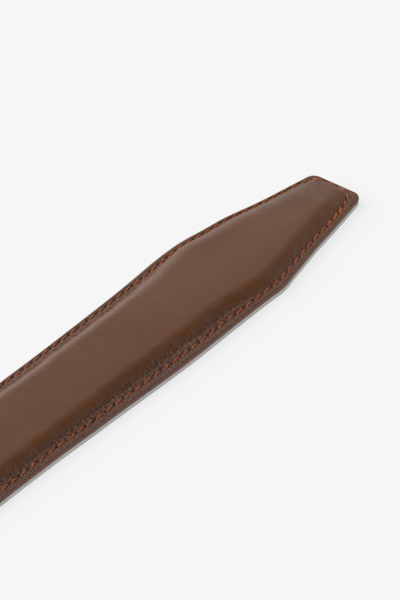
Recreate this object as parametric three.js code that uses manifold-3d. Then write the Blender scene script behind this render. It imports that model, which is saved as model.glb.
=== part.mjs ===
// Ratchet belt, unfastened and lying flat with its face up, in millimetres.
// +X runs along the belt to its pointed tip, +Y is across it and +Z is up.
// The origin is under the middle of the whole belt, on the surface that it lies on.

import * as THREE from "three";
import { mergeVertices } from "three/addons/utils/BufferGeometryUtils.js";
import Module from "manifold-3d";

const wasm = await Module();
wasm.setup();

// Strap outline
const strapLength = 1150;
const strapWidth = 35;
const taperLength = 48.5;
const tipEndWidth = 17.3;
const shoulderRadius = 49;
const tipCornerRadius = 3.3;

// Strap thicknesses
const backingThickness = 1.4;
const layerGap = 0.1;
const edgeThickness = 1.3;
const edgeRoll = 0.6;
const edgeDrop = 0.35;

// Stitched margin, padded shoulders and crown
const stitchInset = 2.0;
const marginRise = 0.4;
const shoulderRun = 8.0;
const padRise = 2.1;
const crownRise = 0.25;
const padFadeRun = 30;

// Toothed track on the back of the strap
const trackStart = 62;
const trackLength = 252;
const trackWidth = 9;
const trackBase = 0.55;
const toothPitch = 6;
const toothHeight = 0.7;
const trackClearance = 0.3;

// Buckle
const buckleLength = 46;
const cheekWall = 2.0;
const buckleCornerRadius = 3.0;
const buckleEdgeRadius = 0.7;
const facePlate = 2.2;
const jawDepth = 16;
const jawFloor = 1.2;
const jawRoof = 1.2;
const jawEndWall = 1.6;
const jawClearance = 0.3;
const barLength = 9;
const barThickness = 2.2;
const pawlWidth = 6;
const pawlHeight = 0.6;
const pawlLength = 2.4;
const tipClearance = 0.6;
const sideClearance = 0.5;
const liftRun = 60;

// Places that follow from the sizes
const totalLength = strapLength + buckleLength - jawDepth;
const tipX = totalLength / 2;
const cutX = tipX - strapLength;
const jawMouthX = cutX + jawDepth;
const entryX = jawMouthX - buckleLength;
const strapLift = jawFloor + jawClearance;
const seamHeight = backingThickness + layerGap;
const marginHeight = edgeThickness + marginRise;
const crownHeight = seamHeight + marginHeight + padRise + crownRise;
const cutEndHeight = seamHeight + marginHeight;
const buckleInnerWidth = strapWidth + 2 * sideClearance;
const buckleWidth = buckleInnerWidth + 2 * cheekWall;
const slotHeight = cutEndHeight + 2 * jawClearance;
const passageFloor = jawFloor + slotHeight + jawRoof;
const passageRoof = passageFloor + crownHeight + tipClearance;
const buckleHeight = passageRoof + facePlate;
const through = 5;

const { clamp, smoothstep } = THREE.MathUtils;

const leather = new THREE.MeshStandardMaterial({ name: "leather", color: "#6a4d40", roughness: 0.5 });
const backing = new THREE.MeshStandardMaterial({ name: "backing", color: "#9b9a9a", roughness: 0.75 });
const nylon = new THREE.MeshStandardMaterial({ name: "nylon", color: "#1b1a1a", roughness: 0.45 });
const nickel = new THREE.MeshStandardMaterial({
  name: "nickel",
  color: "#b9b7b2",
  roughness: 0.3,
  metalness: 1,
});

// Half of the tip's outline, as a curve from the middle of the blunt end back to the straight
// edge: x is measured back from the tip and y outwards from the middle. Each corner is an arc.
function tipOutline() {
  const endHalf = tipEndWidth / 2;
  const taperAngle = Math.atan2((strapWidth - tipEndWidth) / 2, taperLength);
  const along = new THREE.Vector2(Math.cos(taperAngle), Math.sin(taperAngle));
  const cornerTurn = Math.PI / 2 - taperAngle;
  const cornerTangent = tipCornerRadius * Math.tan(cornerTurn / 2);
  const shoulderTangent = shoulderRadius * Math.tan(taperAngle / 2);
  const corner = new THREE.Vector2(0, endHalf);
  const shoulder = corner.clone().addScaledVector(along, taperLength / along.x);
  const cornerStart = corner.clone().add(new THREE.Vector2(0, -cornerTangent));
  const cornerEnd = corner.clone().addScaledVector(along, cornerTangent);
  const shoulderStart = shoulder.clone().addScaledVector(along, -shoulderTangent);
  const shoulderEnd = shoulder.clone().add(new THREE.Vector2(shoulderTangent, 0));
  const cornerSteps = 5;
  const shoulderSteps = 5;
  return [
    new THREE.Vector2(0, 0),
    ...new THREE.QuadraticBezierCurve(cornerStart, corner, cornerEnd).getPoints(cornerSteps),
    ...new THREE.QuadraticBezierCurve(shoulderStart, shoulder, shoulderEnd).getPoints(shoulderSteps),
    new THREE.Vector2(totalLength, strapWidth / 2),
  ];
}

const outline = tipOutline();

// Half of the strap's width at a place measured back from the tip
function halfWidth(back) {
  for (let i = 2; i < outline.length; i += 1) {
    const before = outline[i - 1];
    const after = outline[i];
    if (back <= after.x) {
      const share = (back - before.x) / Math.max(after.x - before.x, Number.EPSILON);
      return THREE.MathUtils.lerp(before.y, after.y, clamp(share, 0, 1));
    }
  }
  return strapWidth / 2;
}

// Shortest way from a point of the strap to its edge
function insetAt(back, across) {
  const point = new THREE.Vector3(back, Math.abs(across), 0);
  const nearest = new THREE.Vector3();
  let inset = Infinity;
  for (let i = 1; i < outline.length; i += 1) {
    const side = new THREE.Line3(
      new THREE.Vector3(outline[i - 1].x, outline[i - 1].y, 0),
      new THREE.Vector3(outline[i].x, outline[i].y, 0),
    );
    side.closestPointToPoint(point, true, nearest);
    inset = Math.min(inset, nearest.distanceTo(point));
  }
  return inset;
}

// Height of the upper's face above its underside: the rolled edge, the stitched margin, the
// shoulder that rises from the stitches, and the crown. The padding fades out before the buckle.
function faceHeight(back, inset) {
  const roll = Math.sin((clamp(inset / edgeRoll, 0, 1) * Math.PI) / 2);
  const margin = clamp(inset / stitchInset, 0, 1);
  const shoulder = smoothstep(inset, stitchInset, stitchInset + shoulderRun);
  const crown = clamp(inset / (strapWidth / 2), 0, 1);
  const padded = smoothstep(strapLength - jawDepth - back, 0, padFadeRun);
  const padding = padRise * shoulder + crownRise * shoulder * crown;
  return edgeThickness - edgeDrop * (1 - roll) + marginRise * margin + padding * padded;
}

// Height of the strap's underside: flat on the surface, and raised to the jaw at the buckle
function underside(back) {
  const fromJaw = strapLength - jawDepth - back;
  return strapLift * (1 - smoothstep(fromJaw, 0, liftRun));
}

// Insets at which the face has an edge line: the edge, its roll, the stitches and the shoulder
function faceInsets() {
  const shoulderSteps = 6;
  const insets = [0, edgeRoll / 2, edgeRoll, (edgeRoll + stitchInset) / 2, stitchInset];
  for (let i = 1; i <= shoulderSteps; i += 1) {
    insets.push(stitchInset + (shoulderRun * i) / shoulderSteps);
  }
  return insets;
}

// Places along the strap, measured back from the tip, at which it has a cross-section
function stations() {
  const taperSteps = 6;
  const fadeSteps = 8;
  const places = [...faceInsets(), ...outline.slice(1, -1).map((point) => point.x)];
  for (let i = 1; i < taperSteps; i += 1) {
    places.push((taperLength * i) / taperSteps);
  }
  for (let i = 0; i <= fadeSteps; i += 1) {
    places.push(strapLength - jawDepth - (liftRun * i) / fadeSteps);
    places.push(strapLength - jawDepth - (padFadeRun * i) / fadeSteps);
  }
  places.push(strapLength);
  const leastStep = 0.12;
  const sorted = places.filter((place) => place <= strapLength).sort((a, b) => a - b);
  return sorted.filter((place, i) => i === 0 || place - sorted[i - 1] > leastStep);
}

// Closed solid through cross-sections that all have the same number of points. Each section
// holds points of Y and Z, anticlockwise as seen from the tip, at its own X.
function loft(sections) {
  const count = sections[0].points.length;
  const positions = sections.flatMap(({ x, points }) => points.flatMap((p) => [x, p.x, p.y]));
  const index = [];
  for (let row = 1; row < sections.length; row += 1) {
    for (let i = 0; i < count; i += 1) {
      const next = (i + 1) % count;
      const a = (row - 1) * count + i;
      const b = (row - 1) * count + next;
      const c = row * count + next;
      const d = row * count + i;
      index.push(a, d, c, a, c, b);
    }
  }
  const last = (sections.length - 1) * count;
  for (const [a, b, c] of THREE.ShapeUtils.triangulateShape(sections[0].points, [])) {
    index.push(a, b, c);
  }
  for (const [a, b, c] of THREE.ShapeUtils.triangulateShape(sections.at(-1).points, [])) {
    index.push(last + a, last + c, last + b);
  }
  const geometry = new THREE.BufferGeometry();
  geometry.setAttribute("position", new THREE.Float32BufferAttribute(positions, 3));
  geometry.setIndex(index);
  return geometry;
}

// Cross-section of the upper: a flat underside, and the padded face from one edge to the other
function upperSection(back) {
  const half = halfWidth(back);
  const insets = faceInsets();
  const squeeze = Math.min(1, half / (insets.at(-1) + shoulderRun / 2));
  const offsets = insets.map((inset) => half - inset * squeeze);
  const across = [...offsets, 0, ...offsets.map((offset) => -offset).reverse()];
  const bottom = underside(back) + seamHeight;
  const face = across.map((y) => new THREE.Vector2(y, bottom + faceHeight(back, insetAt(back, y))));
  return [new THREE.Vector2(-half, bottom), new THREE.Vector2(half, bottom), ...face];
}

function backingSection(back) {
  const half = halfWidth(back);
  const bottom = underside(back);
  const top = bottom + backingThickness;
  return [
    new THREE.Vector2(-half, bottom),
    new THREE.Vector2(half, bottom),
    new THREE.Vector2(half, top),
    new THREE.Vector2(-half, top),
  ];
}

function alongStrap(section) {
  return loft(stations().map((back) => ({ x: tipX - back, points: section(back) })));
}

// Change a closed mesh to a solid for cutting and joining, and back
function toSolid(geometry) {
  const bare = geometry.clone();
  bare.deleteAttribute("normal");
  bare.deleteAttribute("uv");
  const merged = mergeVertices(bare, 1e-4);
  return new wasm.Manifold(
    new wasm.Mesh({
      numProp: 3,
      vertProperties: new Float32Array(merged.attributes.position.array),
      triVerts: new Uint32Array(merged.index.array),
    }),
  );
}

function toGeometry(solid) {
  const mesh = solid.getMesh();
  const geometry = new THREE.BufferGeometry();
  geometry.setAttribute("position", new THREE.BufferAttribute(mesh.vertProperties, 3));
  geometry.setIndex(new THREE.BufferAttribute(mesh.triVerts, 1));
  return geometry;
}

// Box between two corners
function block(low, high) {
  const size = new THREE.Vector3().subVectors(high, low);
  const geometry = new THREE.BoxGeometry(size.x, size.y, size.z);
  geometry.translate((low.x + high.x) / 2, (low.y + high.y) / 2, (low.z + high.z) / 2);
  return geometry;
}

// Prism of a side view: the outline holds points of X and Z, and width is its size along Y
function sidePrism(points, width) {
  const shape = new THREE.Shape(points.map(([x, z]) => new THREE.Vector2(x, z)));
  const geometry = new THREE.ExtrudeGeometry(shape, { depth: width, bevelEnabled: false });
  geometry.translate(0, 0, -width / 2);
  geometry.rotateX(Math.PI / 2);
  return geometry;
}

// Track: a flat base with sawtooth ribs that face down, and gentle slopes towards the tip
function trackGeometry() {
  const teeth = Math.max(1, Math.floor(trackLength / toothPitch));
  const top = backingThickness;
  const root = top - trackBase;
  const crest = root - toothHeight;
  const flatShare = 0.2;
  const slopeShare = 0.72;
  const far = tipX - trackStart;
  const points = [[far, top]];
  for (let i = 0; i < teeth; i += 1) {
    const x = far - toothPitch * i;
    points.push([x, root]);
    points.push([x - toothPitch * slopeShare, crest]);
    points.push([x - toothPitch * (slopeShare + flatShare), crest]);
    points.push([x - toothPitch * (slopeShare + flatShare), root]);
  }
  points.push([far - toothPitch * teeth, root]);
  points.push([far - toothPitch * teeth, top]);
  return { geometry: sidePrism(points, trackWidth), from: far - toothPitch * teeth, to: far };
}

// Backing with the window that the track sits in
function backingGeometry(track) {
  const halfWindow = trackWidth / 2 + trackClearance;
  const window = block(
    new THREE.Vector3(track.from - trackClearance, -halfWindow, -through),
    new THREE.Vector3(track.to + trackClearance, halfWindow, backingThickness + through),
  );
  return toGeometry(toSolid(alongStrap(backingSection)).subtract(toSolid(window)));
}

// Rounded rectangle with its middle at x, for the buckle seen from above
function roundedOutline(middleX, length, width, radius) {
  const left = middleX - length / 2;
  const right = middleX + length / 2;
  const half = width / 2;
  const quarter = Math.PI / 2;
  const shape = new THREE.Shape();
  shape.moveTo(left + radius, -half);
  shape.lineTo(right - radius, -half);
  shape.absarc(right - radius, -half + radius, radius, -quarter, 0);
  shape.lineTo(right, half - radius);
  shape.absarc(right - radius, half - radius, radius, 0, quarter);
  shape.lineTo(left + radius, half);
  shape.absarc(left + radius, half - radius, radius, quarter, 2 * quarter);
  shape.lineTo(left, -half + radius);
  shape.absarc(left + radius, -half + radius, radius, 2 * quarter, 3 * quarter);
  return shape;
}

// Buckle: a face plate on two cheeks, a jaw that holds the strap's cut end, the passage that
// the tip goes through, and a bar with a fixed pawl where the tip goes in.
function buckleGeometry() {
  const inset = 2 * buckleEdgeRadius;
  const middleX = (entryX + jawMouthX) / 2;
  const outer = new THREE.ExtrudeGeometry(
    roundedOutline(middleX, buckleLength - inset, buckleWidth - inset, buckleCornerRadius),
    {
      depth: buckleHeight - inset,
      bevelSize: buckleEdgeRadius,
      bevelThickness: buckleEdgeRadius,
      bevelSegments: 3,
      curveSegments: 5,
    },
  );
  outer.translate(0, 0, buckleEdgeRadius);

  const innerHalf = buckleInnerWidth / 2;
  const barEndX = entryX + barLength;
  const barBottom = passageFloor - barThickness;
  const slotEndX = cutX - jawClearance;
  const jawStartX = slotEndX - jawEndWall;
  const cuts = [
    block(
      new THREE.Vector3(entryX - through, -innerHalf, passageFloor),
      new THREE.Vector3(jawMouthX + through, innerHalf, passageRoof),
    ),
    block(
      new THREE.Vector3(slotEndX, -innerHalf, jawFloor),
      new THREE.Vector3(jawMouthX + through, innerHalf, jawFloor + slotHeight),
    ),
    block(
      new THREE.Vector3(barEndX, -innerHalf, -through),
      new THREE.Vector3(jawStartX, innerHalf, passageFloor + tipClearance),
    ),
    sidePrism(
      [
        [entryX - through, -through],
        [jawStartX, -through],
        [jawStartX, 0],
        [barEndX, barBottom],
        [entryX - through, barBottom],
      ],
      buckleWidth + 2 * through,
    ),
  ];
  const pawlX = entryX + barLength / 2;
  const pawl = sidePrism(
    [
      [pawlX - pawlLength / 2, passageFloor - pawlHeight],
      [pawlX + pawlLength / 2, passageFloor - pawlHeight],
      [pawlX + pawlLength / 2, passageFloor + pawlHeight],
      [pawlX + pawlLength / 4, passageFloor + pawlHeight],
      [pawlX - pawlLength / 2, passageFloor],
    ],
    pawlWidth,
  );
  let solid = toSolid(outer);
  for (const cut of cuts) {
    solid = solid.subtract(toSolid(cut));
  }
  return toGeometry(solid.add(toSolid(pawl)));
}

function piece(name, geometry, material) {
  const mesh = new THREE.Mesh(geometry, material);
  mesh.name = name;
  return mesh;
}

const track = trackGeometry();
const belt = new THREE.Group();
belt.add(piece("strap_upper", alongStrap(upperSection), leather));
belt.add(piece("strap_backing", backingGeometry(track), backing));
belt.add(piece("ratchet_track", track.geometry, nylon));
belt.add(piece("buckle", buckleGeometry(), nickel));

export default belt;
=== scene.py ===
import math

import bmesh
import bpy
import numpy as np
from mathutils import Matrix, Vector


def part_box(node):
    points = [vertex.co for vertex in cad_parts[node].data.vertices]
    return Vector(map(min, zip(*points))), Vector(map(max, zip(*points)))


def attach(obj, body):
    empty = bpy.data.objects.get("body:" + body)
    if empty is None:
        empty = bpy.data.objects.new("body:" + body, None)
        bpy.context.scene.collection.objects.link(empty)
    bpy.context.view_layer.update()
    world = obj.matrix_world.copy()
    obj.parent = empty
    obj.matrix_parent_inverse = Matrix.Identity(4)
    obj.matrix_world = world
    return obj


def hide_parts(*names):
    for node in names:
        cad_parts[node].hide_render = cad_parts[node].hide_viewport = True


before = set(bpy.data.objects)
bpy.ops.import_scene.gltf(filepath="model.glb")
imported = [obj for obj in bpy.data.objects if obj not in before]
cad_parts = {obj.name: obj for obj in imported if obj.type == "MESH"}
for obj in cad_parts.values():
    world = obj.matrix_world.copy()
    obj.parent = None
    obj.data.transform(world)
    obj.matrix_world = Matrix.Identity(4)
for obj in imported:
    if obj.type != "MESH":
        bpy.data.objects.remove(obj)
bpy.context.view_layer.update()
upperLow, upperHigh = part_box("strap_upper")
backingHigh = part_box("strap_backing")[1]
trackLow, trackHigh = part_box("ratchet_track")
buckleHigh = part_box("buckle")[1]
print("frame loaded: " + ", ".join(sorted(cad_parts)))

# Shapes are worked out in millimetres and turned to metres when a mesh is made
mm = 0.001
tipX = upperHigh.x / mm
strapLength = (upperHigh.x - upperLow.x) / mm
jawBack = tipX - buckleHigh.x / mm        # where the strap goes into the buckle, measured from the tip

backingThickness = 1.4
strap = {
    "width": (upperHigh.y - upperLow.y) / mm,
    "taper": 48.5,
    "tipEnd": 17.3,
    "shoulderRadius": 49.0,
    "cornerRadius": 3.3,
    "lift": backingHigh.z / mm - backingThickness,    # how far the jaw holds the strap's end up
    "liftRun": 60.0,
    "fadeRun": 30.0,
}


# Smooth step from 0 at low to 1 at high: t squared times (3 - 2t)
def smoothStep(value, low, high):
    t = np.clip((value - low) / (high - low), 0, 1)
    return t * t * (3 - 2 * t)


# A bump of height 1 at the middle that dies away with distance: exp(-(d / width)^2)
def hump(value, middle, width):
    return np.exp(-(((value - middle) / width) ** 2))


# Smooth noise along a line: a sum of sines whose wavelengths and phases come from the seed
def ripple(place, wavelength, seed, terms=5):
    random = np.random.default_rng(seed)
    total = np.zeros_like(place, dtype=float)
    for _ in range(terms):
        length = wavelength * random.uniform(0.6, 1.7)
        total += np.sin(2 * np.pi * place / length + random.uniform(0, 2 * np.pi))
    return total / terms


# Crumpled surface: a sum of waves whose lengths, headings and phases come from the seed. Their
# headings stay near the strap's own, so their ridges lie across it
def crumple(back, across, wavelength, spread, seed, terms=18):
    random = np.random.default_rng(seed)
    total = np.zeros_like(back)
    for _ in range(terms):
        length = wavelength * random.uniform(0.6, 1.8)
        heading = random.uniform(-spread, spread)
        way = back * math.cos(heading) + across * math.sin(heading)
        total += np.sin(2 * np.pi * way / length + random.uniform(0, 2 * np.pi))
    return total / math.sqrt(terms)


# Quadratic curve a (1-t)^2 + 2 b t (1-t) + c t^2, for the rounded corners of the outline
def bend(a, b, c, steps):
    t = np.linspace(0, 1, steps)[:, None]
    return np.array(a) * (1 - t) ** 2 + 2 * np.array(b) * t * (1 - t) + np.array(c) * t ** 2


# Half of the strap's outline seen from above, as rows of (distance back from the tip, distance
# out from the middle): blunt end and rounded corner, then rounded shoulder and straight edge.
# The side line is the same edge with the taper carried straight on past the tip
def halfOutline(steps=17):
    endHalf = strap["tipEnd"] / 2
    angle = math.atan2((strap["width"] - strap["tipEnd"]) / 2, strap["taper"])
    along = np.array([math.cos(angle), math.sin(angle)])
    corner = np.array([0.0, endHalf])
    shoulder = corner + along * strap["taper"] / along[0]
    cornerTangent = strap["cornerRadius"] * math.tan((math.pi / 2 - angle) / 2)
    shoulderTangent = strap["shoulderRadius"] * math.tan(angle / 2)
    tipPart = np.vstack([
        [[0.0, 0.0]],
        bend(corner - [0, cornerTangent], corner, corner + along * cornerTangent, steps),
    ])
    sidePart = np.vstack([
        bend(shoulder - along * shoulderTangent, shoulder, shoulder + [shoulderTangent, 0], steps),
        [[strapLength + strap["width"], strap["width"] / 2]],
    ])
    return np.vstack([tipPart, sidePart]), np.vstack([[corner - along * strap["taper"]], sidePart])


outline, sideLine = halfOutline()


# Half of the strap's width at each place, read off the outline
def halfWidth(back):
    return np.interp(back, outline[1:, 0], outline[1:, 1])


# Shortest way from each point to a line of the plan: the least of the ways to its stretches
def wayTo(path, back, across):
    points = np.stack([back, across], axis=-1)
    best = np.full(back.shape, np.inf)
    for start, end in zip(path[:-1], path[1:]):
        side = end - start
        share = np.clip(((points - start) @ side) / (side @ side), 0, 1)
        nearest = start + share[..., None] * side
        best = np.minimum(best, np.linalg.norm(points - nearest, axis=-1))
    return best


def insetAt(back, across):
    return wayTo(outline, back, np.abs(across))


# Places that lie far apart on the strap's two sides, so that the noise read there differs
def sidePlaces(back, across, apart):
    return back + apart * np.sign(across)


# How far each side's cut edge strays from the plan: rows of (place, width, size) of long gentle
# humps, and a small ripple from the knife. All layers and the stitches stray together
stray = {
    "far": ((33.0, 9.0, 0.8), (59.0, 15.0, 1.0), (121.0, 43.0, -0.7), (162.0, 22.0, -0.2)),
    "near": ((27.0, 7.0, -0.23), (47.5, 5.0, 0.35), (92.0, 25.0, 0.65), (160.0, 27.0, -0.55)),
    "ripple": 0.07,
    "rippleLength": 40.0,
    "reach": 9.0,
    "knifeFrom": 6.0,            # the knife's ripple fades out from here to the tip
}


# Moves points sideways with the stray of their edge, fading by a smooth step towards the middle
def withStray(back, across, inset):
    far = sum(size * hump(back, place, width) for place, width, size in stray["far"])
    near = sum(size * hump(back, place, width) for place, width, size in stray["near"])
    knife = stray["ripple"] * ripple(sidePlaces(back, across, apart=900), stray["rippleLength"], seed=7)
    shift = np.where(across > 0, far, near) + knife * smoothStep(back, 0, stray["knifeFrom"])
    return across + np.sign(across) * shift * (1 - smoothStep(inset, 0, stray["reach"]))


# Height of the strap's underside: 0, and rising to the jaw by a smooth step
def underside(back):
    return strap["lift"] * (1 - smoothStep(jawBack - back, 0, strap["liftRun"]))


# Numbers of a grid's points, row by row
def gridIndex(rows, columns):
    return np.arange(rows * columns).reshape(rows, columns)


# Corners of each cell of such a grid
def gridCells(index):
    return np.stack([index[:-1, :-1], index[1:, :-1], index[1:, 1:], index[:-1, 1:]], axis=-1)


def addObject(name, data):
    made = bpy.data.objects.new(name, data)
    bpy.context.scene.collection.objects.link(made)
    return made


# A mesh piece from points in millimetres and lists of faces, smooth up to the given angle
def makePiece(name, points, faces, material, smoothAngle=40.0):
    mesh = bpy.data.meshes.new(name)
    mesh.from_pydata((np.asarray(points) * mm).tolist(), [], faces)
    work = bmesh.new()
    work.from_mesh(mesh)
    bmesh.ops.recalc_face_normals(work, faces=work.faces)
    work.to_mesh(mesh)
    work.free()
    mesh.shade_smooth()
    mesh.set_sharp_from_angle(angle=math.radians(smoothAngle))
    mesh.materials.append(material)
    return addObject(name, mesh)


# A number for each point of a piece, for its material to read
def markPoints(piece, name, values):
    attribute = piece.data.attributes.new(name, "FLOAT", "POINT")
    attribute.data.foreach_set("value", np.asarray(values, dtype=np.float32).ravel())


def toLinear(hexColour):
    channels = [int(hexColour[i:i + 2], 16) / 255 for i in (1, 3, 5)]
    return [c / 12.92 if c <= 0.04045 else ((c + 0.055) / 1.055) ** 2.4 for c in channels] + [1.0]


# Adds a node with its settings, its input values and what it is linked from
def addNode(tree, kind, settings=None, values=None, links=None):
    node = tree.nodes.new(kind)
    for key, value in (settings or {}).items():
        setattr(node, key, value)
    for key, value in (values or {}).items():
        node.inputs[key].default_value = value
    for key, (source, output) in (links or {}).items():
        tree.links.new(source.outputs[output], node.inputs[key])
    return node


def newMaterial(name, **shaderValues):
    material = bpy.data.materials.new(name)
    material.use_nodes = True
    tree = material.node_tree
    shader = tree.nodes["Principled BSDF"]
    for key, value in shaderValues.items():
        shader.inputs[key.replace("_", " ")].default_value = value
    place = addNode(tree, "ShaderNodeTexCoord")
    return material, tree, shader, place


# Full-grain leather, pigmented and pressed smooth: a satin brown whose sheen comes from a thin
# clear finish over fine pores, with painted shade in the pressed crease, at the needle holes and in
# the low parts of the wrinkles, pale streaks of painted sheen where the face is crumpled, and a
# rougher, dyed cut edge
leatherLook = {
    "face": "#5f391d",
    "deep": "#583419",
    "edge": "#6a4536",
    "dye": "#6e3226",
    # Painted shade, for the pressed crease and the low parts of the wrinkles
    "shadedCrease": "#3a1b0c",
    # Painted shade in the needle holes
    "shadedHole": "#34130a",
    # Painted sheen, as pale streaks on the crumpled face
    "paleSheen": "#68412b",
    "roughness": 0.34,
    "crumpledRoughness": 0.42,
    "edgeRoughness": 0.75,
    "poreSize": 0.5,
    "crackleSize": 0.8,
    "cloudSize": 14.0,
    "streakSize": (2.4, 0.5),
    "fineScale": 2.4,
    "softScale": 0.09,
    "shineChange": (-0.04, 0.06),
    "streakRange": (0.38, 0.62),
    "streakShare": 0.42,
    "wrinkleRange": (0.38, 0.57),
    "wrinkleShadeShare": 0.75,
    # Strength and depth in mm of each bump, from the broadest to the finest
    "bumps": ((0.25, 0.4), (1.0, 0.36), (0.7, 0.14), (0.5, 0.06)),
}
middleRange = (0.3, 0.7)        # range that a noise mostly keeps to


def fullGrainLeather():
    look = leatherLook
    material, tree, shader, place = newMaterial("full_grain_leather", IOR=1.5,
                                                Roughness=look["roughness"])
    millimetres = addNode(tree, "ShaderNodeMapping", values={"Scale": (1 / mm,) * 3},
                          links={"Vector": (place, "Object")})
    clouds = addNode(tree, "ShaderNodeTexNoise",
                     values={"Scale": 1 / look["cloudSize"], "Detail": 3.0, "Roughness": 0.55},
                     links={"Vector": (millimetres, "Vector")})
    tone = addNode(tree, "ShaderNodeMapRange",
                   values={"From Min": middleRange[0], "From Max": middleRange[1]},
                   links={"Value": (clouds, "Fac")})
    colour = addNode(tree, "ShaderNodeMix", {"data_type": "RGBA"},
                     {"A": toLinear(look["deep"]), "B": toLinear(look["face"])},
                     {"Factor": (tone, "Result")})
    rise, shadedHole, shadedCrease, crumpled, wall = [addNode(tree, "ShaderNodeAttribute", {"attribute_name": name})
                                      for name in ("rise", "shadedHole", "shadedCrease", "crumpled", "wall")]
    streakPlace = addNode(tree, "ShaderNodeMapping",
                          values={"Scale": (1 / look["streakSize"][0], 1 / look["streakSize"][1], 1)},
                          links={"Vector": (millimetres, "Vector")})
    streak = addNode(tree, "ShaderNodeTexNoise", values={"Scale": 1.0, "Detail": 3.0, "Roughness": 0.65},
                     links={"Vector": (streakPlace, "Vector")})
    streaks = addNode(tree, "ShaderNodeMapRange",
                      values={"From Min": look["streakRange"][0], "From Max": look["streakRange"][1],
                              "To Min": 0.0, "To Max": look["streakShare"]},
                      links={"Value": (streak, "Fac")})
    # Painted sheen: pale streaks where the face is crumpled
    sheenStreaks = addNode(tree, "ShaderNodeMath", {"operation": "MULTIPLY"}, None,
                          {0: (streaks, "Result"), 1: (crumpled, "Fac")})
    colour = addNode(tree, "ShaderNodeMix", {"data_type": "RGBA"}, {"B": toLinear(look["paleSheen"])},
                     {"A": (colour, "Result"), "Factor": (sheenStreaks, "Value")})
    # Each mask's tint goes from one share to another as its measure goes from low to high
    masks = (
        # Painted shade in the pressed crease
        (shadedCrease, 0.05, 0.9, 0.0, 0.75, "shadedCrease"),
        # Painted shade in the needle holes
        (shadedHole, 0.15, 0.7, 0.0, 0.92, "shadedHole"),
        (wall, 0.2, 1.0, 0.0, 1.0, "edge"),
        (rise, 0.08, 0.32, 0.9, 0.0, "dye"),
    )
    edgeMask = None
    for source, low, high, atLow, atHigh, tint in masks:
        mask = addNode(tree, "ShaderNodeMapRange", {"interpolation_type": "SMOOTHSTEP"},
                       {"From Min": low, "From Max": high, "To Min": atLow, "To Max": atHigh},
                       {"Value": (source, "Fac")})
        edgeMask = mask if tint == "edge" else edgeMask
        colour = addNode(tree, "ShaderNodeMix", {"data_type": "RGBA"}, {"B": toLinear(look[tint])},
                         {"A": (colour, "Result"), "Factor": (mask, "Result")})
    crackle = addNode(tree, "ShaderNodeTexNoise",
                      values={"Scale": 1 / look["crackleSize"], "Detail": 3.0, "Roughness": 0.6,
                              "Distortion": 1.4}, links={"Vector": (millimetres, "Vector")})
    # Painted shade: the crease colour goes into the low parts of the crackle, whose height is also the
    # bump, where the face is crumpled
    wrinkle = addNode(tree, "ShaderNodeMapRange", {"interpolation_type": "SMOOTHSTEP"},
                      {"From Min": look["wrinkleRange"][0], "From Max": look["wrinkleRange"][1],
                       "To Min": look["wrinkleShadeShare"], "To Max": 0.0},
                      {"Value": (crackle, "Fac")})
    wrinkleShade = addNode(tree, "ShaderNodeMath", {"operation": "MULTIPLY"}, None,
                       {0: (wrinkle, "Result"), 1: (crumpled, "Fac")})
    colour = addNode(tree, "ShaderNodeMix", {"data_type": "RGBA"}, {"B": toLinear(look["shadedCrease"])},
                     {"A": (colour, "Result"), "Factor": (wrinkleShade, "Value")})
    tree.links.new(colour.outputs["Result"], shader.inputs["Base Color"])
    pores = addNode(tree, "ShaderNodeTexVoronoi", {"feature": "SMOOTH_F1"},
                    {"Scale": 1 / look["poreSize"], "Smoothness": 0.6, "Randomness": 1.0},
                    {"Vector": (millimetres, "Vector")})
    fine = addNode(tree, "ShaderNodeTexNoise",
                   values={"Scale": look["fineScale"], "Detail": 4.0, "Roughness": 0.6},
                   links={"Vector": (millimetres, "Vector")})
    soft = addNode(tree, "ShaderNodeTexNoise",
                   values={"Scale": look["softScale"], "Detail": 2.0, "Roughness": 0.5},
                   links={"Vector": (millimetres, "Vector")})
    crumpledCrackle = addNode(tree, "ShaderNodeMath", {"operation": "MULTIPLY"}, None,
                          {0: (crackle, "Fac"), 1: (crumpled, "Fac")})
    heights = ((soft, "Fac"), (crumpledCrackle, "Value"), (fine, "Fac"), (pores, "Distance"))
    links = {}
    for height, (strength, depth) in zip(heights, look["bumps"]):
        bump = addNode(tree, "ShaderNodeBump", values={"Strength": strength, "Distance": depth * mm},
                       links={"Height": height, **links})
        links = {"Normal": (bump, "Normal")}
    tree.links.new(bump.outputs["Normal"], shader.inputs["Normal"])
    shine = addNode(tree, "ShaderNodeMapRange",
                    values={"From Min": middleRange[0], "From Max": middleRange[1],
                            "To Min": look["roughness"] + look["shineChange"][0],
                            "To Max": look["roughness"] + look["shineChange"][1]},
                    links={"Value": (fine, "Fac")})
    crumpledShine = addNode(tree, "ShaderNodeMix", {"data_type": "FLOAT"}, {"B": look["crumpledRoughness"]},
                        {"A": (shine, "Result"), "Factor": (crumpled, "Fac")})
    finish = addNode(tree, "ShaderNodeMix", {"data_type": "FLOAT"}, {"B": look["edgeRoughness"]},
                     {"A": (crumpledShine, "Result"), "Factor": (edgeMask, "Result")})
    tree.links.new(finish.outputs["Result"], shader.inputs["Roughness"])
    return material


# Grey split leather backing: matt and slightly fibrous, with pale stains, and painted shade that
# darkens its underside and the low part of its cut edge, so that the edge is lighter where it
# meets the upper
backingLook = {
    "face": "#c6c6c6",
    "fibre": "#b2b3b4",
    "low": "#a5a6a9",
    "stain": "#a8a7a5",
    "stainSize": 5.0,
    "fibreLength": 1.6,
    # Painted shade, low on the cut edge and on the underside
    "fibreWidth": 0.25,
    "lowTo": (0.45, 0.95),       # height in mm over which the edge goes from low to face
    "lowShadeShare": 0.8,
    "stainRange": (0.42, 0.68),
    "stainShare": 0.6,
    "bump": (0.6, 0.08),
}


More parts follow.
